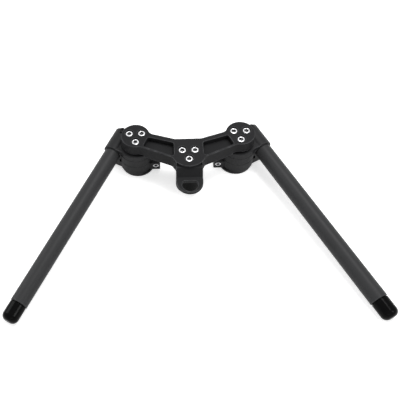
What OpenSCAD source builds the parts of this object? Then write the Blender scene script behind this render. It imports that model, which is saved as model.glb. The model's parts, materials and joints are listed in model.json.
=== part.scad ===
/* [Bars] */
// Outside diameter of each bar tube
tube_d = 22.2; // [20:0.1:25.4]
// Wall of each bar tube
tube_wall = 2.4; // [1.5:0.1:4]
// Length of tube that shows between its sleeve and its end plug
tube_reach = 240.5; // [120:0.5:320]
// Amount turned off the radius of the tube's end that sits in its sleeve
seat_turn = 0.3; // [0.2:0.05:1]
// Length of that turned end outside the sleeve
seat_show = 1; // [0.5:0.5:4]
// Angle of each bar outward from straight back to the rider
bar_sweep = 27.8; // [15:0.1:40]
// Diameter of the end plug, a little under the tube
plug_d = 21.2; // [18:0.1:22]
// Length of the end plug outside the tube
plug_len = 24.5; // [10:0.5:40]
// Rounding of the end plug's tip
plug_round = 7.5; // [1:0.1:8.5]
// Depth of the end plug's spigot inside the tube
plug_grip = 18; // [8:1:30]

/* [Towers] */
// Distance between the two tower axes
tower_gap = 138; // [124:1:170]
// Diameter of the clamp ring
ring_d = 44.6; // [43:0.1:50]
// Diameter of the post that the clamp ring grips
post_d = 27.5; // [27:0.1:28]
// Diameter of the flange at the foot of the post
flange_d = 45.6; // [40:0.1:52]
// Thickness of the flange
flange_h = 4; // [2:0.5:10]
// How far the flange lies inboard of its post
flange_shift = 2; // [0:0.1:4]
// Height of the clamp ring
ring_h = 38; // [34:0.5:46]
// Height of the lower groove above the ring's bottom
groove_low = 16; // [14:0.5:20]
// Height of the upper groove above the ring's bottom
groove_high = 29; // [24:0.5:31]
// Gap between the clamp ring and the lobe, filled by the spacer
spacer_h = 3; // [1.5:0.1:6]
// Diameter of the spacer
spacer_d = 33; // [31:0.5:37]
// Height of the ear that carries the pinch bolt
ear_h = 12.5; // [11:0.5:14]
// Reach of the ear from the tower axis
ear_reach = 32.5; // [31:0.5:38]
// Half of the ear's width, from the slit to each side face
ear_half = 13.6; // [12:0.1:16]
// Width of the slit that lets the ring close
slit_w = 2; // [1:0.1:3]

/* [Sleeves] */
// Outside diameter of the sleeve that holds a bar tube
sleeve_d = 27; // [25.4:0.1:28]
// Length of the sleeve
sleeve_len = 35; // [30:1:60]
// Height of the sleeve's axis above the bottom of the clamp ring
sleeve_height = 27; // [24:0.5:27.5]
// Distance from the tower axis to the sleeve's axis
sleeve_offset = 26.2; // [26:0.1:30]
// How far the sleeve's middle lies towards the rider from its tower
sleeve_fore = 1; // [-3:0.5:6]
// Thickness of the wall that closes the sleeve's far end
sleeve_end = 1.5; // [1:0.5:4]
// Distance of the bar screw from the sleeve's far end
bar_screw_set = 4.5; // [4:0.5:8]
// Half of the width of the saddle below the sleeve
saddle_half = 9; // [5:0.5:12]
// Drop from the clamp ring's rim to the top of the web beside the sleeve
web_drop = 0.3; // [0.2:0.1:3]
// Height of the recess between ring and sleeve above the ring's bottom
recess_low = 13; // [8:0.5:20]
// Height of the top of that recess above the ring's bottom
recess_high = 30; // [24:0.5:33]
// Depth of that recess behind the sleeve's mouth
recess_deep = 8.5; // [2:0.5:12]

/* [Bridge plate] */
// Thickness of the plate at its arms and deck
plate_h = 19.2; // [17:0.1:26]
// Diameter of the lobe over each tower
lobe_d = 38; // [36:0.5:44]
// Set-back of the deck's rear edge from the line of the towers
deck_back = 7.4; // [4:0.1:10]
// Half of the deck's straight rear edge
deck_half = 17; // [14:0.5:22]
// Width across the deck's round front, about the centre screws
deck_d = 45; // [40:0.5:48]
// Set-back of the centre screws from the line of the towers
deck_set = 29.8; // [27:0.1:34]
// Depth of each arm's front edge in front of its tower
arm_front = 16.2; // [13:0.1:18]
// Depth of the corner where an arm meets the tongue
arm_root = 39.4; // [37:0.1:44]
// Fillets between the lobes and the arms
lobe_fillet = 8; // [4:0.5:12]
// Fillets between the arms and the tongue
tongue_fillet = 12; // [6:0.5:16]
// Depth of the pocket in each arm
pocket_deep = 7.5; // [3:0.5:10]
// Rim left behind each pocket
pocket_rear_rim = 6.4; // [4:0.1:9]
// Rim left in front of each pocket
pocket_front_rim = 2.3; // [1.5:0.1:5]
// Distance of each pocket from the middle of the plate
pocket_inner = 19; // [17:0.5:24]
// Distance of each pocket from its tower, along the arm
pocket_outer = 16; // [14:0.5:22]
// Corner radius of each pocket
pocket_round = 3; // [1:0.5:5]

/* [Tongue] */
// Half of the tongue's width, and the radius of its end
tongue_half = 17.1; // [15:0.1:20]
// Set-back of the centre of the tongue's round end
tongue_set = 65.6; // [60:0.1:75]
// Thickness of the tongue round its hole
tongue_h = 4.5; // [3:0.1:8]
// Drop from the deck down to the top of the ramp
deck_step = 4; // [1:0.5:7]
// Set-back of the foot of the ramp
ramp_foot = 59; // [56:0.5:60]
// Diameter of the tongue's hole
hole_d = 20.2; // [14:0.1:22]
// How far the hole sits beyond the centre of the round end
hole_shift = 4.9; // [0:0.1:5.5]
// Distance from the hole's centre to its flat side
hole_flat = 5.8; // [3:0.1:9]

/* [Stem clamp] */
// Diameter of the steering stem that the clamp takes
stem_d = 25.4; // [20:0.1:27]
// Set-back of the stem's axis from the line of the towers
stem_set = 45; // [43:0.1:48]
// Wall round the stem
stem_wall = 3.8; // [2.5:0.1:5]
// Depth of the stem's bore
stem_deep = 15; // [10:0.5:16]
// Height of the clamp below the plate
stem_h = 29.5; // [28:0.5:34]
// Half of the clamp's width across its pinch bolt
stem_half = 15; // [14:0.1:16.5]

/* [Screws] */
// Circle that each group of three screws lies on
screw_pcd = 19; // [18.5:0.1:20]
// Thread diameter of the tower and centre screws
screw_d = 6; // [5:0.5:6]
// Length of the tower screws under the head
tower_screw_len = 30; // [20:1:35]
// Length of the centre screws under the head
centre_screw_len = 20; // [18:1:24]
// Thread diameter of the pinch bolts and of the bar screws
pinch_d = 5; // [4:0.5:5]
// Length of the pinch bolts under the head
pinch_len = 20; // [16:1:20]
// How deep a screw's head lies below the face above it
head_sink = 1; // [0.2:0.1:2]
// Clearance between a screw and the hole that it passes
screw_play = 0.3; // [0.1:0.05:0.6]
// Clearance round pieces that are pressed, threaded or clamped
fit_play = 0.03; // [0.01:0.01:0.1]
// Overlap where one arc runs into the next, so that they cross
arc_lap = 0.01; // [0.005:0.005:0.05]

/* [Edges] */
// Chamfer on the turned edges
edge = 0.8; // [0.3:0.1:1.2]
// Depth of the grooves round the clamp ring
groove = 0.6; // [0.3:0.1:1]

/* [Hidden] */
$fn = 96;

tower_x = tower_gap / 2;
tube_r = tube_d / 2;
seat_r = tube_r - seat_turn;
plug_r = plug_d / 2;
ring_r = ring_d / 2;
post_r = post_d / 2;
flange_r = flange_d / 2;
sleeve_r = sleeve_d / 2;
lobe_r = lobe_d / 2;
screw_r = screw_d / 2;
pinch_r = pinch_d / 2;
stem_r = stem_d / 2;
hole_r = hole_d / 2;

// Heights of the stack, from the surface that the towers stand on
ring_top = flange_h + ring_h;
lobe_bottom = ring_top + spacer_h;
plate_bottom = ring_top;
plate_top = plate_bottom + plate_h;
sleeve_z = flange_h + sleeve_height;
tongue_top = plate_bottom + tongue_h;
pocket_floor = plate_top - pocket_deep;
stem_bottom = plate_bottom - stem_h;
past = 1;

// Cap screws follow the usual proportions of their thread
screw_head_r = screw_d * 5 / 6;
pinch_head_r = pinch_d * 0.85;
screw_seat = plate_top - head_sink - screw_d;
pinch_seat = ear_half - head_sink - pinch_d;
head_room = 0.5;

// The bars slope down until the plugs' tips touch the same surface
bar_reach = sleeve_len / 2 + tube_reach + plug_len;
function tip_height(slope) =
    (plug_r - plug_round) * cos(slope) + plug_round * (1 - sin(slope));
function slope_to(tip) = asin((sleeve_z - tip) / bar_reach);
slope_guess = slope_to(tip_height(slope_to(plug_r)));
bar_slope = slope_to(tip_height(slope_guess));

// The origin lies midway between the foremost and the rearmost point
bar_fore = cos(bar_slope) * cos(bar_sweep);
bar_side = sqrt(1 - bar_fore * bar_fore);
sleeve_x = sleeve_offset * cos(bar_sweep) + sleeve_fore * sin(bar_sweep);
sleeve_y = sleeve_offset * sin(bar_sweep) - sleeve_fore * cos(bar_sweep);
front_y = sleeve_y - (bar_reach - plug_round) * bar_fore
    - (plug_r - plug_round) * bar_side - plug_round;
back_y = sleeve_y + sleeve_len / 2 * bar_fore + (sleeve_r - edge) * bar_side;
shift_y = -(front_y + back_y) / 2;

// Edges of the right arm of the plate, each a point and a direction
function unit(v) = v / norm(v);
function side_of(v) = [-v[1], v[0]];
function moved(line, d) = [line[0] + side_of(line[1]) * d, line[1]];
function meet(a, b) =
    a[0] + a[1] * cross(b[0] - a[0], b[1]) / cross(a[1], b[1]);
function near_cut(line, c, r) =
    let (m = line[0] - c, b = m * line[1])
    line[0] + line[1] * (-b - sqrt(b * b - m * m + r * r));

tower = [tower_x, 0];
deck_corner = [deck_half, -deck_back];
rear_entry = tower + [-lobe_r * 0.9, lobe_r * 0.2];
rear_edge = [deck_corner, unit(rear_entry - deck_corner)];
front_corner = [tongue_half, -arm_root];
front_entry = [tower_x, -arm_front];
front_edge = [front_corner, unit(front_entry - front_corner)];
tongue_edge = [front_corner, [0, 1]];
pocket_start = [[pocket_inner, 0], [0, 1]];
pocket_stop = [tower - front_edge[1] * pocket_outer, side_of(front_edge[1])];
screw_dirs = [for (a = [30, 150, 270]) [cos(a), sin(a)]];

// Puts a piece in the finished frame, from the line of the towers
module placed() {
    translate([0, shift_y, 0])
        children();
}

module at_right_tower() {
    translate([tower_x, 0, 0])
        children();
}

module left_of_right() {
    mirror([1, 0, 0])
        children();
}

// The bar runs from the middle of the sleeve along -Y of this frame
module bar_frame() {
    translate([sleeve_x, sleeve_y, sleeve_z])
        rotate([bar_slope, 0, bar_sweep])
            children();
}

module along_bar(start) {
    translate([0, -start, 0])
        rotate([90, 0, 0])
            children();
}

module three_screws() {
    for (d = screw_dirs)
        translate(d * screw_pcd / 2)
            children();
}

// Disc or bar with both rims chamfered
module turned(r, h, c) {
    rotate_extrude()
        polygon([
            [0, 0], [r - c, 0], [r, c],
            [r, h - c], [r - c, h], [0, h]
        ]);
}

module ring_cut(r, depth, z) {
    translate([0, 0, z])
        rotate_extrude()
            polygon([
                [r - depth, 0], [r + past, -depth - past],
                [r + past, depth + past]
            ]);
}

// Socket screw: seat of the head at z = 0, thread down -Z
module cap_screw(thread, head_r, long) {
    point = thread * 0.12;
    socket = thread * 0.83;
    difference() {
        rotate_extrude()
            polygon([
                [0, -long], [thread / 2 - point, -long], [thread / 2, point - long],
                [thread / 2, 0], [head_r, 0], [head_r, thread - point],
                [head_r - point, thread], [0, thread]
            ]);
        translate([0, 0, thread / 2])
            cylinder(h = thread, d = socket / cos(30), $fn = 6);
    }
}

// Fills the hollow between a lobe's rim and an arm's edge
module lobe_web(line, side) {
    gap = lobe_fillet - arc_lap;
    centre = near_cut(moved(line, side * gap), tower, lobe_r + gap);
    difference() {
        polygon([
            tower, centre,
            centre - side_of(line[1]) * side * lobe_fillet,
            tower - side_of(line[1]) * side * lobe_r / 2
        ]);
        translate(centre)
            circle(lobe_fillet);
    }
}

module root_web() {
    gap = tongue_fillet - arc_lap;
    centre = meet(moved(front_edge, -gap), moved(tongue_edge, -gap));
    difference() {
        polygon([
            front_corner - [1, 0],
            [tongue_half - 1, centre[1]],
            centre,
            centre + side_of(front_edge[1]) * (tongue_fillet + 1),
            front_corner + [-1, 1]
        ]);
        translate(centre)
            circle(tongue_fillet);
    }
}

module both_sides() {
    children();
    mirror([1, 0])
        children();
}

module plate_outline() {
    both_sides() {
        translate(tower)
            circle(lobe_r);
        polygon([
            [0, -deck_back], deck_corner, rear_entry, tower,
            front_entry, front_corner, [0, -arm_root]
        ]);
        lobe_web(rear_edge, 1);
        lobe_web(front_edge, -1);
    }
    translate([0, -deck_set])
        circle(d = deck_d);
    // The root fillets stop at the round front of the deck
    intersection() {
        both_sides()
            root_web();
        translate([0, -deck_set])
            circle(d = deck_d + tongue_fillet / 4);
    }
}

module tongue_outline() {
    translate([-tongue_half, -tongue_set])
        square([tongue_half * 2, tongue_set - deck_set]);
    translate([0, -tongue_set])
        circle(tongue_half);
    both_sides()
        root_web();
}

// Seen from the side: a short step, a ramp, then the flat tongue
module tongue_side() {
    tip = -tongue_set - tongue_half - past;
    ramp_top = -deck_set - deck_d / 2 + past;
    rotate([90, 0, 90])
        translate([0, 0, -tongue_half - tongue_fillet])
            linear_extrude((tongue_half + tongue_fillet) * 2)
                polygon([
                    [-deck_set, plate_bottom], [tip, plate_bottom],
                    [tip, tongue_top], [-ramp_foot, tongue_top],
                    [ramp_top, plate_top - deck_step],
                    [-deck_set, plate_top - deck_step]
                ]);
}

// Convex pocket with round corners, from the centres of its corners
module soft_polygon(centres, r) {
    n = len(centres);
    polygon(centres);
    for (i = [0 : n - 1]) {
        a = centres[i];
        b = centres[(i + 1) % n];
        out = -side_of(unit(b - a)) * r;
        polygon([a, a + out, b + out, b]);
        translate(a)
            circle(r);
    }
}

module pocket() {
    rear = moved(rear_edge, -pocket_rear_rim - pocket_round);
    front = moved(front_edge, pocket_front_rim + pocket_round);
    inner = moved(pocket_start, -pocket_round);
    outer = moved(pocket_stop, pocket_round);
    soft_polygon([
        meet(inner, front), meet(front, outer),
        meet(outer, rear), meet(rear, inner)
    ], pocket_round);
}

module hole_outline() {
    intersection() {
        circle(hole_r);
        translate([-hole_d, -hole_d])
            square([hole_d * 2, hole_d + hole_flat]);
    }
}

module screw_wells() {
    three_screws() {
        translate([0, 0, screw_seat])
            cylinder(h = plate_h, r = screw_head_r + head_room);
        translate([0, 0, plate_bottom - past])
            cylinder(h = plate_h, r = screw_r + screw_play);
    }
}

module bridge_plate() {
    color("#2a2b2e")
        placed()
            difference() {
                union() {
                    translate([0, 0, plate_bottom])
                        linear_extrude(plate_h)
                            plate_outline();
                    intersection() {
                        translate([0, 0, plate_bottom])
                            linear_extrude(plate_h)
                                tongue_outline();
                        tongue_side();
                    }
                }
                for (x = [-tower_x, tower_x])
                    translate([x, 0, 0]) {
                        screw_wells();
                        translate([0, 0, plate_bottom - past])
                            cylinder(h = spacer_h + past, r = ring_r + past);
                    }
                translate([0, -deck_set, 0])
                    screw_wells();
                translate([0, 0, pocket_floor])
                    linear_extrude(plate_h)
                        both_sides()
                            pocket();
                translate([0, -tongue_set - hole_shift, plate_bottom - past])
                    linear_extrude(plate_h)
                        hole_outline();
            }
}

module post() {
    tip = screw_seat - tower_screw_len;
    difference() {
        union() {
            translate([-flange_shift, 0, 0])
                turned(flange_r, flange_h, edge);
            cylinder(h = lobe_bottom, r = post_r);
        }
        three_screws()
            translate([0, 0, tip - past])
                cylinder(h = plate_h + tower_screw_len, r = screw_r + fit_play);
    }
}

module left_post() {
    color("#303236")
        placed()
            left_of_right()
                at_right_tower()
                    post();
}

module right_post() {
    color("#303236")
        placed()
            at_right_tower()
                post();
}

module spacer() {
    translate([0, 0, ring_top])
        difference() {
            turned(spacer_d / 2, spacer_h, edge / 2);
            translate([0, 0, -past])
                cylinder(h = spacer_h + 2 * past, r = post_r + fit_play);
        }
}

module left_spacer() {
    color("#18191b")
        placed()
            left_of_right()
                at_right_tower()
                    spacer();
}

module right_spacer() {
    color("#18191b")
        placed()
            at_right_tower()
                spacer();
}

// Saddle that carries the sleeve down to the foot of the clamp ring
module saddle() {
    bar_frame()
        translate([-sleeve_offset, -sleeve_len / 2, -sleeve_z])
            cube([sleeve_offset + saddle_half, sleeve_len, sleeve_z]);
}

// Web between the ring's rim and the upper half of the sleeve
module web() {
    intersection() {
        bar_frame()
            translate([-sleeve_offset, -sleeve_len / 2, -past])
                cube([sleeve_offset, sleeve_len, ring_h]);
        cylinder(h = ring_top - web_drop, r = sleeve_offset + sleeve_len);
    }
}

// Recess between the ring and the sleeve, open at the sleeve's mouth
module recess() {
    bar_frame()
        translate([-sleeve_offset, -sleeve_len / 2 - past, recess_low - sleeve_height])
            cube([
                sleeve_offset - saddle_half, recess_deep + past,
                recess_high - recess_low
            ]);
}

module ear() {
    wide = ear_half - edge;
    deep = ear_reach - edge;
    linear_extrude(flange_h + ear_h)
        polygon([
            [0, -ear_half], [-deep, -ear_half], [-ear_reach, -wide],
            [-ear_reach, wide], [-deep, ear_half], [0, ear_half]
        ]);
}

// Everything of the clamp stands on the flange, in one plane
module above_flange() {
    wide = ring_r + sleeve_offset + sleeve_len;
    intersection() {
        children();
        translate([-wide, -wide, flange_h])
            cube([2 * wide, 2 * wide, 2 * ring_h]);
    }
}

// Axis of the pinch bolt, head towards -Y
module pinch_frame() {
    reach = (ear_reach + ring_r) / 2 - edge;
    translate([-reach, -pinch_seat, flange_h + ear_h / 2])
        rotate([90, 0, 0])
            children();
}

module slit() {
    translate([-ear_reach - past, -slit_w / 2, flange_h - past])
        cube([ear_reach + past, slit_w, ring_h + 2 * past]);
}

// Seat of the bar screw, on top of the sleeve near its far end
module bar_screw_frame() {
    bar_frame()
        translate([0, sleeve_len / 2 - bar_screw_set, sleeve_r - edge])
            children();
}

module arm() {
    difference() {
        above_flange() {
            union() {
                turned(ring_r, ring_top, edge);
                ear();
                difference() {
                    union() {
                        saddle();
                        web();
                    }
                    recess();
                }
                bar_frame()
                    along_bar(-sleeve_len / 2)
                        turned(sleeve_r, sleeve_len, edge);
            }
        }
        ring_cut(ring_r, groove, flange_h + groove_low);
        ring_cut(ring_r, groove, flange_h + groove_high);
        translate([0, 0, flange_h - past])
            cylinder(h = ring_h + 2 * past, r = post_r + fit_play);
        slit();
        bar_frame()
            along_bar(sleeve_end - sleeve_len / 2)
                cylinder(h = sleeve_len, r = seat_r + fit_play);
        pinch_frame() {
            cylinder(h = ear_half, r = pinch_head_r + head_room / 2);
            translate([0, 0, -pinch_seat])
                cylinder(h = ear_half, r = pinch_r + screw_play);
            translate([0, 0, -pinch_len])
                cylinder(h = pinch_len, r = pinch_r + fit_play);
        }
        bar_screw_frame() {
            cylinder(h = sleeve_r, r = pinch_head_r - head_room / 2);
            translate([0, 0, -sleeve_r + edge])
                cylinder(h = sleeve_r, r = pinch_r + fit_play);
        }
    }
}

module left_arm() {
    color("#2c2d30")
        placed()
            left_of_right()
                at_right_tower()
                    arm();
}

module right_arm() {
    color("#2c2d30")
        placed()
            at_right_tower()
                arm();
}

module pinch_bolt() {
    pinch_frame()
        cap_screw(pinch_d, pinch_head_r, pinch_len);
}

module left_pinch_bolt() {
    color("#c9cbcd")
        placed()
            left_of_right()
                at_right_tower()
                    pinch_bolt();
}

module right_pinch_bolt() {
    color("#c9cbcd")
        placed()
            at_right_tower()
                pinch_bolt();
}

module tower_screws() {
    three_screws()
        translate([0, 0, screw_seat])
            cap_screw(screw_d, screw_head_r, tower_screw_len);
}

module left_tower_screws() {
    color("#c9cbcd")
        placed()
            left_of_right()
                at_right_tower()
                    tower_screws();
}

module right_tower_screws() {
    color("#c9cbcd")
        placed()
            at_right_tower()
                tower_screws();
}

module centre_screws() {
    color("#c9cbcd")
        placed()
            translate([0, -deck_set, screw_seat])
                three_screws()
                    cap_screw(screw_d, screw_head_r, centre_screw_len);
}

// Tube with a turned end, so that its full diameter starts outside the sleeve
module bar_tube() {
    inside = sleeve_len - sleeve_end;
    long = inside + tube_reach;
    step = inside + seat_show;
    rim = edge / 2;
    bar_frame()
        along_bar(sleeve_end - sleeve_len / 2)
            rotate_extrude()
                polygon([
                    [tube_r - tube_wall, 0], [seat_r - rim, 0], [seat_r, rim],
                    [seat_r, step], [tube_r, step + seat_turn],
                    [tube_r, long - rim], [tube_r - rim, long],
                    [tube_r - tube_wall, long]
                ]);
}

module left_bar_tube() {
    color("#3b3d41")
        placed()
            left_of_right()
                at_right_tower()
                    bar_tube();
}

module right_bar_tube() {
    color("#3b3d41")
        placed()
            at_right_tower()
                bar_tube();
}

// Plug with a relief groove where it meets the tube
module end_plug() {
    spigot_r = tube_r - tube_wall - fit_play;
    bar_frame()
        along_bar(sleeve_len / 2 + tube_reach)
            rotate_extrude() {
                polygon([
                    [0, -plug_grip], [spigot_r - edge, -plug_grip],
                    [spigot_r, edge - plug_grip], [spigot_r, 0],
                    [plug_r - edge, 0], [plug_r - edge, edge],
                    [plug_r, edge * 2], [plug_r, plug_len - plug_round],
                    [plug_r - plug_round, plug_len - plug_round],
                    [plug_r - plug_round, plug_len], [0, plug_len]
                ]);
                intersection() {
                    translate([plug_r - plug_round, plug_len - plug_round])
                        circle(plug_round);
                    translate([plug_r - plug_round, plug_len - plug_round])
                        square(plug_round);
                }
            }
}

module left_end_plug() {
    color("#0e0f10")
        placed()
            left_of_right()
                at_right_tower()
                    end_plug();
}

module right_end_plug() {
    color("#0e0f10")
        placed()
            at_right_tower()
                end_plug();
}

// Low screw that presses on the tube through the sleeve's wall
module bar_screw() {
    head_r = pinch_head_r - head_room;
    head_h = pinch_d * 0.7;
    rim = edge / 2;
    point = seat_r + fit_play - sleeve_r + edge;
    bar_screw_frame()
        difference() {
            rotate_extrude()
                polygon([
                    [0, point], [pinch_r, point], [pinch_r, 0], [head_r, 0],
                    [head_r, head_h - rim], [head_r - rim, head_h], [0, head_h]
                ]);
            translate([0, 0, head_h - pinch_d / 3])
                cylinder(h = pinch_d, d = pinch_d * 0.7, $fn = 6);
        }
}

module left_bar_screw() {
    color("#141516")
        placed()
            left_of_right()
                at_right_tower()
                    bar_screw();
}

module right_bar_screw() {
    color("#141516")
        placed()
            at_right_tower()
                bar_screw();
}

// Axis of the stem's pinch bolt, head towards +X, behind the bore
module stem_pinch_frame() {
    behind = stem_set - stem_r - pinch_d;
    translate([stem_half - head_sink - pinch_d, -behind, stem_bottom + stem_deep / 2])
        rotate([0, 90, 0])
            children();
}

module stem_clamp() {
    tail = deck_set - screw_pcd / 2;
    color("#2a2b2e")
        placed()
            difference() {
                union() {
                    translate([0, -stem_set, stem_bottom])
                        cylinder(h = stem_h, r = stem_r + stem_wall);
                    translate([-stem_half, -stem_set, stem_bottom])
                        cube([stem_half * 2, stem_set - tail, stem_h]);
                }
                translate([0, -stem_set, stem_bottom - past])
                    cylinder(h = stem_deep + past, r = stem_r);
                translate([-slit_w / 2, -stem_set, stem_bottom - past])
                    cube([slit_w, stem_set, stem_deep + past]);
                translate([0, -deck_set, screw_seat - centre_screw_len])
                    three_screws()
                        cylinder(h = plate_h + centre_screw_len, r = screw_r + fit_play);
                stem_pinch_frame() {
                    cylinder(h = stem_half, r = pinch_head_r + head_room / 2);
                    translate([0, 0, -stem_half + head_sink + pinch_d])
                        cylinder(h = stem_half, r = pinch_r + screw_play);
                    translate([0, 0, -pinch_len])
                        cylinder(h = pinch_len, r = pinch_r + fit_play);
                }
            }
}

module stem_pinch_bolt() {
    color("#c9cbcd")
        placed()
            stem_pinch_frame()
                cap_screw(pinch_d, pinch_head_r, pinch_len);
}

bridge_plate();
left_post();
right_post();
left_spacer();
right_spacer();
left_arm();
right_arm();
left_pinch_bolt();
right_pinch_bolt();
left_tower_screws();
right_tower_screws();
centre_screws();
left_bar_tube();
right_bar_tube();
left_end_plug();
right_end_plug();
left_bar_screw();
right_bar_screw();
stem_clamp();
stem_pinch_bolt();
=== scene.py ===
import json
import math

import bmesh
import bpy
from mathutils import Matrix, Vector


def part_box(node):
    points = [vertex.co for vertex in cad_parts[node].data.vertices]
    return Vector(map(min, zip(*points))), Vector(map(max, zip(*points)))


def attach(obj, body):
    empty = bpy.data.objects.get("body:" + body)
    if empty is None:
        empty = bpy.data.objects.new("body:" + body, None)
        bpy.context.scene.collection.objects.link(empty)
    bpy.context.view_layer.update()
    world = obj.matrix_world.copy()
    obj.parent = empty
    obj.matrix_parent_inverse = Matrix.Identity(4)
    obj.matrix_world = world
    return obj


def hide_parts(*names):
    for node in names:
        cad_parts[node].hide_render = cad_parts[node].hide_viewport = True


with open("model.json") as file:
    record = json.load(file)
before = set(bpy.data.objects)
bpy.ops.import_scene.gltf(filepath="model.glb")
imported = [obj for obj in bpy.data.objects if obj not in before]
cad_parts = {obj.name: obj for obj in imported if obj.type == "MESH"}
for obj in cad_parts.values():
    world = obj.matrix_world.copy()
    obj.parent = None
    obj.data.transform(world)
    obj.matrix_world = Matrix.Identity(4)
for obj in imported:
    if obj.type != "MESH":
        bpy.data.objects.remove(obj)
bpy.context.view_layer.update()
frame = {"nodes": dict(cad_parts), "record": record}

nodes = frame["nodes"]
scene = bpy.context.scene
print("frame loaded:", len(nodes), "nodes")


class Signal:
    # one output of a node; sums and products of it add Math nodes
    def __init__(self, sheet, socket):
        self.sheet = sheet
        self.socket = socket

    def calc(self, operation, first, second):
        return self.sheet.node("ShaderNodeMath", {"operation": operation}, {0: first, 1: second})

    def __add__(self, other):
        return self.calc("ADD", self, other)

    def __radd__(self, other):
        return self.calc("ADD", other, self)

    def __sub__(self, other):
        return self.calc("SUBTRACT", self, other)

    def __rsub__(self, other):
        return self.calc("SUBTRACT", other, self)

    def __mul__(self, other):
        return self.calc("MULTIPLY", self, other)

    def __rmul__(self, other):
        return self.calc("MULTIPLY", other, self)


class Sheet:
    # a material and the nodes on it
    endKind = "ShaderNodeOutputMaterial"

    def __init__(self, name):
        self.material = bpy.data.materials.new(name)
        self.material.use_nodes = True
        self.tree = self.material.node_tree
        self.tree.nodes.clear()

    def node(self, kind, settings=None, values=None, output=0):
        made = self.tree.nodes.new(kind)
        for name, value in (settings or {}).items():
            if name == "stops":
                elements = made.color_ramp.elements
                for element, (place, tone) in zip(elements, value):
                    element.position = place
                    element.color = (tone, tone, tone, 1)
            else:
                setattr(made, name, value)
        for name, value in (values or {}).items():
            if isinstance(value, Signal):
                self.tree.links.new(value.socket, made.inputs[name])
            else:
                made.inputs[name].default_value = value
        return Signal(self, made.outputs[output])

    def place(self):
        return self.node("ShaderNodeTexCoord", output="Object")

    def noise(self, where, scale, detail=2.0, rough=0.5):
        return self.node("ShaderNodeTexNoise", {}, {
            "Vector": where, "Scale": scale, "Detail": detail, "Roughness": rough})

    def ramp(self, value, stops):
        return self.node("ShaderNodeValToRGB", {"stops": stops}, {"Fac": value})

    def blend(self, mask, first, second):
        # colour mix: sockets 6 and 7 of the Mix node are its colours
        return self.node("ShaderNodeMix", {"data_type": "RGBA"}, {
            0: mask, 6: first, 7: second}, output=2)

    def bump(self, strength, height, soft):
        return self.node("ShaderNodeBump", {}, {
            "Strength": strength, "Distance": relief["bumpDistance"],
            "Height": height, "Normal": soft})

    def surface(self, shader):
        end = self.tree.nodes.new(self.endKind)
        self.tree.links.new(shader.socket, end.inputs["Surface"])
        return self.material


# how fine the shading reads edges, corners and the smallest bumps
relief = {
    "bevelSamples": 6, "shadeSamples": 8, "bumpDistance": 0.0001, "edgeReach": 2,
    "edgeStops": ((0.10, 0.0), (0.34, 1.0)), "creaseStops": ((0.25, 0.0), (0.80, 1.0)),
}


def rgba(tone):
    return (tone[0], tone[1], tone[2], 1.0)


def roundedEdges(sheet, radius):
    # soft normal over sharp edges, and a mask that is 1 along the outer ones
    soft = sheet.node("ShaderNodeBevel", {"samples": relief["bevelSamples"]}, {"Radius": radius})
    within = sheet.node("ShaderNodeAmbientOcclusion", {
        "samples": relief["shadeSamples"], "inside": True, "only_local": True}, {
        "Distance": radius * relief["edgeReach"]}, output="AO")
    return soft, sheet.ramp(1 - within, relief["edgeStops"])


def paintedCreaseShade(sheet, depth):
    # painted shade mask: 1 deep in a corner, a gap or a hole, 0 in the open
    around = sheet.node("ShaderNodeAmbientOcclusion", {
        "samples": relief["shadeSamples"]}, {"Distance": depth}, output="AO")
    return sheet.ramp(1 - around, relief["creaseStops"])


def stretched(sheet, where, direction, along, across):
    # turns the pattern so that its Z runs along the direction, then stretches it
    turn = Vector(direction).to_track_quat("Z", "Y").inverted().to_euler()
    turned = sheet.node("ShaderNodeMapping", {}, {"Vector": where, "Rotation": turn})
    return sheet.node("ShaderNodeMapping", {}, {
        "Vector": turned, "Scale": (across, across, along)})


def blackFinish(name, look):
    # anodised or painted metal: fine grain, tool marks, cloudy tone, rubbed edges lightened also as
    # a painted edge highlight, and painted shade in corners, gaps and holes
    sheet = Sheet(name)
    where = sheet.place()
    cloud = sheet.noise(where, look["cloudScale"], look["cloudDetail"])
    grain = sheet.noise(where, look["grainScale"], rough=look["grainRough"])
    soft, edge = roundedEdges(sheet, look["edgeRadius"])
    scuff = sheet.ramp(sheet.noise(
        where, look["scuffScale"], look["scuffDetail"], look["scuffRough"]), look["scuffStops"])
    # convex edges: real rubbed wear together with a painted edge highlight, a lighter colour where
    # the edges would catch light
    least = look["wearAndSheenLeast"]
    wearAndSheen = edge * (least + (1 - least) * scuff)
    tone = sheet.blend(cloud, rgba(look["dark"]), rgba(look["light"]))
    tone = sheet.blend(grain * look["grainTone"], tone, rgba(look["fleck"]))
    tone = sheet.blend(wearAndSheen * look["wearAndSheen"], tone, rgba(look["bareAndSheen"]))
    # painted shade: a darker colour in corners, gaps and holes, where less light reaches
    shadow = paintedCreaseShade(sheet, look["creaseDepth"]) * look["creaseShadeTone"]
    tone = sheet.blend(shadow, tone, rgba(look["creaseShade"]))
    rough = look["rough"] + look["roughSpread"] * (cloud - 0.5)
    rough = rough + look["grainGloss"] * (grain - 0.5) - look["wearAndSheenGloss"] * wearAndSheen
    height = grain
    if "marks" in look:
        lines = sheet.noise(
            stretched(sheet, where, look["axis"], look["marks"], look["marksAcross"]), 1.0)
        height = height + lines * look["markHeight"]
        rough = rough + look["markGloss"] * (lines - 0.5)
    return sheet.surface(sheet.node("ShaderNodeBsdfPrincipled", {}, {
        "Base Color": tone, "Roughness": rough, "Metallic": 0.0,
        "Normal": sheet.bump(look["bump"], height, soft),
        "Specular IOR Level": look["shine"]}))


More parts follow.
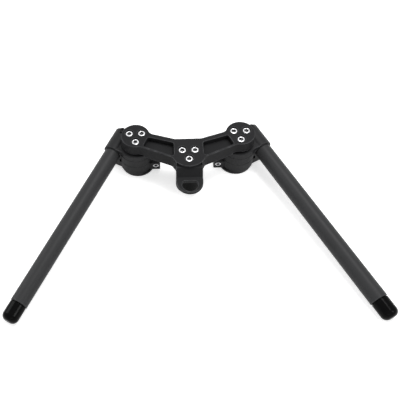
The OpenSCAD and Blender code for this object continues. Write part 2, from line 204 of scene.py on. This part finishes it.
def steelFinish(name, look):
    # plated steel: bright, finely brushed, with painted shade darkening the socket, the thread and
    # the knurls
    sheet = Sheet(name)
    where = sheet.place()
    cloud = sheet.noise(where, look["cloudScale"], look["cloudDetail"])
    brush = sheet.noise(where, look["brushScale"], rough=look["brushRough"])
    soft, edge = roundedEdges(sheet, look["edgeRadius"])
    tone = sheet.blend(cloud, rgba(look["dark"]), rgba(look["light"]))
    tone = sheet.blend(edge * look["edgeTone"], tone, rgba(look["bright"]))
    # painted shade: a darker colour in the socket, on the thread and on the knurls, where the
    # counterbore shades the head
    paintedShade = sheet.node("ShaderNodeAttribute", {"attribute_name": "paintedShade"}, output="Fac")
    tone = sheet.blend(paintedShade, tone, rgba(look["paintedShade"]))
    rough = look["rough"] + look["brushGloss"] * (brush - 0.5)
    rough = rough + look["cloudGloss"] * (cloud - 0.5) + look["paintedShadeGloss"] * paintedShade
    return sheet.surface(sheet.node("ShaderNodeBsdfPrincipled", {}, {
        "Base Color": tone, "Roughness": rough, "Metallic": 1.0,
        "Normal": sheet.bump(look["bump"], brush, soft)}))


def plugFinish(name, look):
    # smooth moulded rubber with a faint flow pattern and a light film of dust
    sheet = Sheet(name)
    where = sheet.place()
    flow = sheet.noise(where, look["flowScale"])
    dust = sheet.ramp(sheet.noise(
        where, look["dustScale"], look["dustDetail"], look["dustRough"]), look["dustStops"])
    soft, edge = roundedEdges(sheet, look["edgeRadius"])
    tone = sheet.blend(flow, rgba(look["dark"]), rgba(look["light"]))
    tone = sheet.blend((dust + edge) * look["dustTone"], tone, rgba(look["dust"]))
    rough = look["rough"] + look["flowGloss"] * (flow - 0.5) + look["dustGloss"] * dust
    return sheet.surface(sheet.node("ShaderNodeBsdfPrincipled", {}, {
        "Base Color": tone, "Roughness": rough, "Metallic": 0.0,
        "Normal": sheet.bump(look["bump"], flow + dust * look["dustHeight"], soft),
        "Specular IOR Level": look["shine"]}))


up = (0.0, 0.0, 1.0)
rightBar = Vector(next(
    m for m in frame["record"]["mounts"] if m["name"] == "right_grip_seat")["axis"])
leftBar = Vector((-rightBar.x, rightBar.y, rightBar.z))

plateLook = {
    "dark": (0.0100, 0.0101, 0.0105), "light": (0.0155, 0.0157, 0.0164),
    "cloudScale": 45.0, "cloudDetail": 3.0, "roughSpread": 0.10,
    "fleck": (0.030, 0.030, 0.032), "grainScale": 1500.0, "grainRough": 0.6,
    "grainTone": 0.22, "grainGloss": 0.08,
    # lighter edge colour: rubbed wear and painted edge highlight
    "bareAndSheen": (0.074, 0.074, 0.078), "edgeRadius": 0.0008,
    "wearAndSheen": 0.85, "wearAndSheenLeast": 0.35, "wearAndSheenGloss": 0.1,
    "scuffScale": 130.0, "scuffDetail": 4.0, "scuffRough": 0.65,
    "scuffStops": ((0.42, 0.0), (0.68, 1.0)),
    # colour of the painted shade in corners, gaps and holes
    "creaseShade": (0.0020, 0.0020, 0.0021), "creaseDepth": 0.007, "creaseShadeTone": 0.75,
    "rough": 0.54, "shine": 0.06, "bump": 0.22,
}
armLook = dict(
    plateLook, dark=(0.0130, 0.0131, 0.0136), light=(0.0190, 0.0192, 0.0200),
    rough=0.48, shine=0.11, axis=up, marks=2600.0, marksAcross=6.0, markHeight=0.7,
    markGloss=0.10)
postLook = dict(armLook, rough=0.42, marks=3200.0)
# painted shade: the stem clamp gets a blacker tone than the other black parts, so that the hole in
# the tongue shows dark
stemShadeLook = dict(
    armLook, dark=(0.0030, 0.0030, 0.0031), light=(0.0050, 0.0050, 0.0052),
    fleck=(0.007, 0.007, 0.0072), shine=0.02)
tubeLook = dict(
    plateLook, dark=(0.0260, 0.0262, 0.0270), light=(0.0335, 0.0338, 0.0350),
    rough=0.44, roughSpread=0.08, shine=0.10, grainTone=0.15, bump=0.14,
    marks=1800.0, marksAcross=6.0, markHeight=0.8, markGloss=0.10)
spacerLook = dict(
    plateLook, dark=(0.005, 0.005, 0.0052), light=(0.009, 0.009, 0.0094),
    rough=0.55, shine=0.08)
blackScrewLook = dict(
    plateLook, dark=(0.004, 0.004, 0.0042), light=(0.008, 0.008, 0.0084),
    rough=0.34, shine=0.12, cloudScale=200.0, edgeRadius=0.0003)
screwLook = {
    "dark": (0.62, 0.62, 0.63), "light": (0.80, 0.80, 0.81), "bright": (0.90, 0.90, 0.90),
    "cloudScale": 260.0, "cloudDetail": 3.0, "cloudGloss": 0.08,
    "brushScale": 3000.0, "brushRough": 0.7, "brushGloss": 0.12,
    # colour and roughness of the painted shade on the screws
    "paintedShade": (0.045, 0.045, 0.047), "paintedShadeGloss": 0.25,
    "edgeRadius": 0.00025, "edgeTone": 0.5, "rough": 0.30, "bump": 0.12,
}
plugLook = {
    "dark": (0.0012, 0.0012, 0.0013), "light": (0.0024, 0.0024, 0.0026),
    "flowScale": 90.0, "flowGloss": 0.05,
    "dust": (0.006, 0.006, 0.0065), "dustScale": 420.0, "dustDetail": 5.0, "dustRough": 0.7,
    "dustStops": ((0.5, 0.0), (0.8, 1.0)), "dustTone": 0.25, "dustGloss": 0.12,
    "dustHeight": 0.3, "edgeRadius": 0.0005, "rough": 0.15, "shine": 0.045, "bump": 0.10,
}

finishes = {
    "plate": blackFinish("plateAnodised", plateLook),
    "arm": blackFinish("clampAnodised", armLook),
    "post": blackFinish("postTurned", postLook),
    "spacer": blackFinish("spacerSatin", spacerLook),
    "black_screw": blackFinish("screwBlackened", blackScrewLook),
    "screw": steelFinish("screwPlated", screwLook),
    "plug": plugFinish("plugRubber", plugLook),
}
ownFinishes = {
    "stem_clamp": blackFinish("stemClampShaded", stemShadeLook),
    "left_bar_tube": blackFinish("tubeAnodisedLeft", dict(tubeLook, axis=leftBar)),
    "right_bar_tube": blackFinish("tubeAnodisedRight", dict(tubeLook, axis=rightBar)),
}

slotOf = {part["node"]: part["material_slot"] for part in frame["record"]["subparts"]}
for name, part in nodes.items():
    finish = ownFinishes.get(name) or finishes[slotOf[name]]
    if not part.material_slots:
        part.data.materials.append(finish)
    for place in part.material_slots:
        place.material = finish
print("finishes:", len(finishes) + len(ownFinishes))


# socket screws with knurled heads and real threads, lengths in metres; the knurl's
# ends, the seat, the shoulder, the mouth and the painted shade's limits are counted in rims
m6Screw = {
    "thread": 0.006, "pitch": 0.001, "threadShare": 0.55, "sides": 24, "rowsPerPitch": 6,
    "flank": 4.0, "flatTop": 1.5, "leadPitches": 1.2, "tipShare": 0.86, "neckShare": 0.93,
    "head": 0.010, "headHeight": 0.006, "rim": 0.0008, "seatInset": 0.4,
    "knurls": 36, "knurlDeep": 0.00016, "knurlFoot": 0.5, "knurlTop": 1.3,
    "shoulder": ((0.12, 0.85), (0.5, 0.25), (1.0, 0.0)),
    "socket": 0.005, "socketDeep": 0.003, "mouth": 0.35, "mouthDeep": 0.45,
    "mouthSlack": 0.02,
    "drillShare": 0.40, "drillDeep": 0.00005, "coneShare": 0.12,
    # strength and limits of the painted shade on the screws
    "socketShade": 0.93, "shadeWithin": 0.1, "shadeBelow": 0.2,
    "knurlShade": 0.55, "shadeKnurl": 0.9, "smoothAngle": math.radians(32),
}
m5Screw = dict(
    m6Screw, thread=0.005, head=0.0085, headHeight=0.005, socket=0.00415, socketDeep=0.0025,
    pitch=0.0008, knurls=32, rim=0.0004)
cornersPerKnurl = 4


def ringLoop(mesh, radii, height):
    count = len(radii)
    return [mesh.verts.new((
        radius * math.cos(2 * math.pi * i / count),
        radius * math.sin(2 * math.pi * i / count), height))
        for i, radius in enumerate(radii)]


def joinLoops(mesh, lower, upper):
    count = len(lower)
    for i in range(count):
        mesh.faces.new((lower[i], lower[(i + 1) % count], upper[(i + 1) % count], upper[i]))


def closeLoop(mesh, loop, height):
    middle = mesh.verts.new((0, 0, height))
    for i in range(len(loop)):
        mesh.faces.new((loop[i], loop[(i + 1) % len(loop)], middle))


def addHead(mesh, size):
    # knurled side, rounded shoulder and hexagon socket, from the seat upwards
    count = size["knurls"] * cornersPerKnurl
    outer, rim, top = size["head"] / 2, size["rim"], size["headHeight"]
    wave = [outer - size["knurlDeep"] * (0.5 - 0.5 * math.cos(2 * math.pi * i / cornersPerKnurl))
            for i in range(count)]
    sixth = math.pi / 3
    flat = [size["socket"] / 2 / math.cos((2 * math.pi * i / count) % sixth - sixth / 2)
            for i in range(count)]
    corner = size["socket"] / math.sqrt(3)
    floorZ = top - size["socketDeep"]
    loops = [
        ringLoop(mesh, [size["thread"] / 2] * count, 0.0),
        ringLoop(mesh, [outer - rim * size["seatInset"]] * count, 0.0),
        ringLoop(mesh, wave, rim * size["knurlFoot"]),
        ringLoop(mesh, wave, top - rim * size["knurlTop"]),
    ]
    for inset, drop in size["shoulder"]:
        loops.append(ringLoop(mesh, [outer - rim * inset] * count, top - rim * drop))
    loops += [
        ringLoop(mesh, [corner + rim * size["mouth"]] * count, top),
        ringLoop(mesh, [r + rim * size["mouthSlack"] for r in flat], top - rim * size["mouthDeep"]),
        ringLoop(mesh, flat, floorZ),
        ringLoop(mesh, [size["socket"] * size["drillShare"]] * count, floorZ - size["drillDeep"]),
    ]
    for lower, upper in zip(loops, loops[1:]):
        joinLoops(mesh, lower, upper)
    closeLoop(mesh, loops[-1], floorZ - size["socket"] * size["coneShare"])


def addShank(mesh, size, length):
    # one skin whose radius follows a helix as it goes down and round
    sides, pitch = size["sides"], size["pitch"]
    crest = size["thread"] / 2
    root = crest - pitch * size["threadShare"]
    lead, tip = pitch * size["leadPitches"], size["tipShare"]
    step = pitch / size["rowsPerPitch"]
    loops = []
    for row in range(int((length - pitch) / step) + 1):
        height = -length + row * step
        taper = tip + (1 - tip) * min(1.0, (height + length) / lead)
        runOut = min(1.0, max(0.0, (-height - lead) / pitch))
        radii = []
        for i in range(sides):
            phase = (height / pitch - i / sides) % 1.0
            tooth = min(1.0, max(0.0, size["flatTop"] - abs(phase - 0.5) * size["flank"]))
            threaded = (root + (crest - root) * tooth) * taper
            radii.append(threaded * runOut + crest * size["neckShare"] * (1 - runOut))
        loops.append(ringLoop(mesh, radii, height))
    for lower, upper in zip(loops, loops[1:]):
        joinLoops(mesh, lower, upper)
    closeLoop(mesh, loops[0][::-1], -length)


def screwMaster(name, size, length):
    # seat of the head at z = 0, thread down -Z, all in one closed mesh
    mesh = bmesh.new()
    addHead(mesh, size)
    addShank(mesh, size, length)
    # collar between the shank and the seat, where the two counts of corners meet
    bmesh.ops.bridge_loops(mesh, edges=[edge for edge in mesh.edges if edge.is_boundary])
    bmesh.ops.recalc_face_normals(mesh, faces=mesh.faces)
    data = bpy.data.meshes.new(name)
    mesh.to_mesh(data)
    mesh.free()
    # painted shade: deep in the socket and the thread, lighter on the knurls
    shadeLayer = data.attributes.new("paintedShade", "FLOAT", "POINT")
    within = size["socket"] / math.sqrt(3) + size["rim"] * size["shadeWithin"]
    below = size["headHeight"] - size["rim"] * size["shadeBelow"]
    knurled = size["head"] / 2 - size["rim"] * size["shadeKnurl"]
    for shadedPoint, vertex in zip(shadeLayer.data, data.vertices):
        reach = math.hypot(vertex.co.x, vertex.co.y)
        if reach < within and vertex.co.z < below:
            shadedPoint.value = size["socketShade"]
        elif reach > knurled:
            shadedPoint.value = size["knurlShade"]
    data.shade_smooth()
    data.set_sharp_from_angle(angle=size["smoothAngle"])
    master = bpy.data.objects.new(name, data)
    scene.collection.objects.link(master)
    return master


def circleTree():
    # copies of one screw, evenly on a circle, each with its own turn
    tree = bpy.data.node_groups.new("screwCircle", "GeometryNodeTree")
    face = tree.interface
    face.new_socket("Geometry", in_out="OUTPUT", socket_type="NodeSocketGeometry")
    for name, kind in (
            ("Screw", "NodeSocketObject"), ("Count", "NodeSocketInt"),
            ("Circle", "NodeSocketFloat"), ("Middle", "NodeSocketVector"),
            ("Lean", "NodeSocketRotation"), ("Start", "NodeSocketFloat"),
            ("Seed", "NodeSocketInt"), ("Finish", "NodeSocketMaterial")):
        face.new_socket(name, in_out="INPUT", socket_type=kind)

    def add(kind, settings=None, links=None):
        made = tree.nodes.new(kind)
        for key, value in (settings or {}).items():
            setattr(made, key, value)
        for key, value in (links or {}).items():
            if hasattr(value, "is_output"):
                tree.links.new(value, made.inputs[key])
            else:
                made.inputs[key].default_value = value
        return made

    sizes = add("NodeGroupInput").outputs
    points = add("GeometryNodePoints", {}, {"Count": sizes["Count"]})
    index = add("GeometryNodeInputIndex").outputs[0]
    share = add("ShaderNodeMath", {"operation": "DIVIDE"}, {0: index, 1: sizes["Count"]})
    turn = add("ShaderNodeMath", {"operation": "MULTIPLY_ADD"}, {
        0: share.outputs[0], 1: 2 * math.pi, 2: sizes["Start"]})
    cosine = add("ShaderNodeMath", {"operation": "COSINE"}, {0: turn.outputs[0]})
    sine = add("ShaderNodeMath", {"operation": "SINE"}, {0: turn.outputs[0]})
    spot = add("ShaderNodeCombineXYZ", {}, {"X": cosine.outputs[0], "Y": sine.outputs[0]})
    reach = add("ShaderNodeVectorMath", {"operation": "SCALE"}, {
        0: spot.outputs[0], "Scale": sizes["Circle"]})
    spin = add("FunctionNodeRandomValue", {"data_type": "FLOAT"}, {
        "Min": 0.0, "Max": 2 * math.pi, "ID": index, "Seed": sizes["Seed"]})
    around = add("ShaderNodeCombineXYZ", {}, {"Z": spin.outputs[1]})
    own = add("FunctionNodeEulerToRotation", {}, {0: around.outputs[0]})
    master = add("GeometryNodeObjectInfo", {"transform_space": "ORIGINAL"}, {
        "Object": sizes["Screw"]})
    placed = add("GeometryNodeSetPosition", {}, {
        "Geometry": points.outputs[0], "Position": reach.outputs[0]})
    copies = add("GeometryNodeInstanceOnPoints", {}, {
        "Points": placed.outputs[0], "Instance": master.outputs["Geometry"],
        "Rotation": own.outputs[0]})
    moved = add("GeometryNodeTransform", {}, {
        "Geometry": copies.outputs[0], "Translation": sizes["Middle"],
        "Rotation": sizes["Lean"]})
    real = add("GeometryNodeRealizeInstances", {}, {"Geometry": moved.outputs[0]})
    painted = add("GeometryNodeSetMaterial", {}, {
        "Geometry": real.outputs[0], "Material": sizes["Finish"]})
    add("NodeGroupOutput", {}, {"Geometry": painted.outputs[0]})
    return tree


screwTree = circleTree()
screwInputs = {
    item.name: item.identifier for item in screwTree.interface.items_tree
    if item.in_out == "INPUT"}


def screwGroup(name, node, size, length, values):
    # runs the tree on an empty mesh and keeps the result as a plain mesh
    master = screwMaster(name + "Master", size, length)
    holder = bpy.data.objects.new(name + "Build", bpy.data.meshes.new(name + "Build"))
    scene.collection.objects.link(holder)
    modifier = holder.modifiers.new("screws", "NODES")
    modifier.node_group = screwTree
    for key, value in dict(values, Screw=master, Finish=finishes["screw"]).items():
        modifier[screwInputs[key]] = value
    holder.data.update()
    graph = bpy.context.evaluated_depsgraph_get()
    data = bpy.data.meshes.new_from_object(holder.evaluated_get(graph))
    data.name = name
    bpy.data.objects.remove(holder)
    bpy.data.objects.remove(master)
    piece = bpy.data.objects.new(name, data)
    scene.collection.objects.link(piece)
    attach(piece, "root")
    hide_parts(node)
    return piece


threeScrews = {"count": 3, "circle": 0.0095, "start": math.radians(30)}


def circleMiddle(node):
    # one of the three screws is the nearest to the rider, on the circle's middle line
    low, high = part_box(node)
    return Vector((
        (low.x + high.x) / 2, low.y + threeScrews["circle"] + m6Screw["head"] / 2,
        high.z - m6Screw["headHeight"]))


def threeOn(name, node, seed):
    low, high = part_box(node)
    return screwGroup(name, node, m6Screw, high.z - low.z - m6Screw["headHeight"], {
        "Count": threeScrews["count"], "Circle": threeScrews["circle"],
        "Start": threeScrews["start"], "Middle": circleMiddle(node), "Seed": seed})


def oneBolt(name, node, axis, seed):
    # a pinch bolt lies along X or Y, and its head is at the end that the axis points to
    low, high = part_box(node)
    way = Vector(axis)
    along = abs(way.dot(high - low))
    seat = (low + high) / 2 + way * (along / 2 - m5Screw["headHeight"])
    return screwGroup(name, node, m5Screw, along - m5Screw["headHeight"], {
        "Count": 1, "Circle": 0.0, "Start": 0.0, "Middle": seat, "Seed": seed,
        "Lean": way.to_track_quat("Z", "Y").to_euler()})


screws = [
    threeOn("towerScrewsLeft", "left_tower_screws", 3),
    threeOn("towerScrewsRight", "right_tower_screws", 8),
    threeOn("deckScrews", "centre_screws", 5),
    oneBolt("pinchBoltLeft", "left_pinch_bolt", (0, -1, 0), 1),
    oneBolt("pinchBoltRight", "right_pinch_bolt", (0, -1, 0), 2),
    oneBolt("pinchBoltStem", "stem_pinch_bolt", (1, 0, 0), 4),
]
print("screws:", [(s.name, len(s.data.polygons)) for s in screws])


studio = {
    "floorTone": 0.84, "floorGlow": 0.55, "floorHalf": 6.0, "floorDrop": 0.0002,
    "worldFill": 0.55, "lampAim": (0, 0, 0.03),
}
lamps = {
    "keyPanel": {"power": 9.0, "size": (0.6, 0.4), "place": (0.22, 0.27, 1.12)},
    "sidePanel": {"power": 5.0, "size": (0.45, 0.8), "place": (-0.95, 0.46, 0.76)},
    "stripPanel": {"power": 2.0, "size": (0.14, 0.5), "place": (0.74, -0.42, 0.67)},
    "frontPanel": {"power": 1.0, "size": (0.8, 0.4), "place": (0.0, -1.2, 0.5)},
}


class WorldSheet(Sheet):
    endKind = "ShaderNodeOutputWorld"

    def __init__(self, world):
        self.material = world
        self.tree = world.node_tree
        self.tree.nodes.clear()


def whiteWhere(sheet):
    # 1 for what the camera sees, directly or in a gloss
    path = sheet.tree.nodes.new("ShaderNodeLightPath")
    rays = [Signal(sheet, path.outputs[name]) for name in (
        "Is Camera Ray", "Is Glossy Ray", "Is Transmission Ray")]
    return rays[0].calc("MINIMUM", rays[0] + rays[1] + rays[2], 1.0)


def paleFloor():
    sheet = Sheet("paleFloor")
    paper = sheet.node("ShaderNodeBsdfDiffuse", {}, {
        "Color": rgba([studio["floorTone"]] * 3), "Roughness": 1.0})
    glow = sheet.node("ShaderNodeEmission", {}, {
        "Color": (1, 1, 1, 1), "Strength": whiteWhere(sheet) * studio["floorGlow"]})
    both = sheet.node("ShaderNodeAddShader", {}, {0: paper, 1: glow})
    half = studio["floorHalf"]
    data = bpy.data.meshes.new("floor")
    data.from_pydata(
        [(-half, -half, 0), (half, -half, 0), (half, half, 0), (-half, half, 0)],
        [], [(0, 1, 2, 3)])
    data.materials.append(sheet.surface(both))
    floor = bpy.data.objects.new("floor", data)
    floor.location.z = -studio["floorDrop"]
    scene.collection.objects.link(floor)


def whiteWorld():
    world = bpy.data.worlds.new("studio")
    scene.world = world
    world.use_nodes = True
    sheet = WorldSheet(world)
    fill = studio["worldFill"]
    sheet.surface(sheet.node("ShaderNodeBackground", {}, {
        "Color": (1, 1, 1, 1), "Strength": whiteWhere(sheet) * (1 - fill) + fill}))


def softLamp(name, lamp):
    data = bpy.data.lights.new(name, "AREA")
    data.shape = "RECTANGLE"
    data.size, data.size_y = lamp["size"]
    data.energy = lamp["power"]
    panel = bpy.data.objects.new(name, data)
    panel.location = lamp["place"]
    aim = Vector(studio["lampAim"]) - Vector(lamp["place"])
    panel.rotation_euler = aim.to_track_quat("-Z", "Y").to_euler()
    scene.collection.objects.link(panel)


paleFloor()
whiteWorld()
for name, lamp in lamps.items():
    softLamp(name, lamp)

# the photograph's camera, fitted to the screws, the tubes and the towers: focal
# length and middle in pixels of the photograph, offset and aim in metres
view = {
    "focal": 630.6, "middle": (-87.20, -15.16), "photoSize": 400.0, "sensor": 36.0,
    "heading": math.radians(5.977), "pitch": math.radians(54.988),
    "roll": math.radians(-6.197), "offset": (0.09943, -0.05536, 0.79669),
    "aim": (0.0, -0.120, 0.020), "clip": (0.05, 30.0),
}


def photoCamera():
    heading, pitch, roll = view["heading"], view["pitch"], view["roll"]
    right = Vector((math.cos(heading), math.sin(heading), 0))
    ahead = Vector((-math.sin(heading), math.cos(heading), 0))
    forward = ahead * math.cos(pitch) - Vector(up) * math.sin(pitch)
    top = ahead * math.sin(pitch) + Vector(up) * math.cos(pitch)
    side = right * math.cos(roll) + top * math.sin(roll)
    crown = -right * math.sin(roll) + top * math.cos(roll)
    aim = Vector(view["aim"]) + Vector((0, circleMiddle("left_tower_screws").y, 0))
    x, y, z = view["offset"]
    spot = aim - side * x - crown * y - forward * z
    data = bpy.data.cameras.new("photoCamera")
    data.sensor_fit = "HORIZONTAL"
    data.sensor_width = view["sensor"]
    data.lens = view["focal"] / view["photoSize"] * view["sensor"]
    data.shift_x = -view["middle"][0] / view["photoSize"]
    data.shift_y = view["middle"][1] / view["photoSize"]
    data.clip_start, data.clip_end = view["clip"]
    camera = bpy.data.objects.new("photoCamera", data)
    camera.matrix_world = Matrix((
        (side.x, crown.x, -forward.x, spot.x), (side.y, crown.y, -forward.y, spot.y),
        (side.z, crown.z, -forward.z, spot.z), (0, 0, 0, 1)))
    scene.collection.objects.link(camera)
    scene.camera = camera


photoCamera()
scene.view_settings.view_transform = "Standard"
print("stage ready")
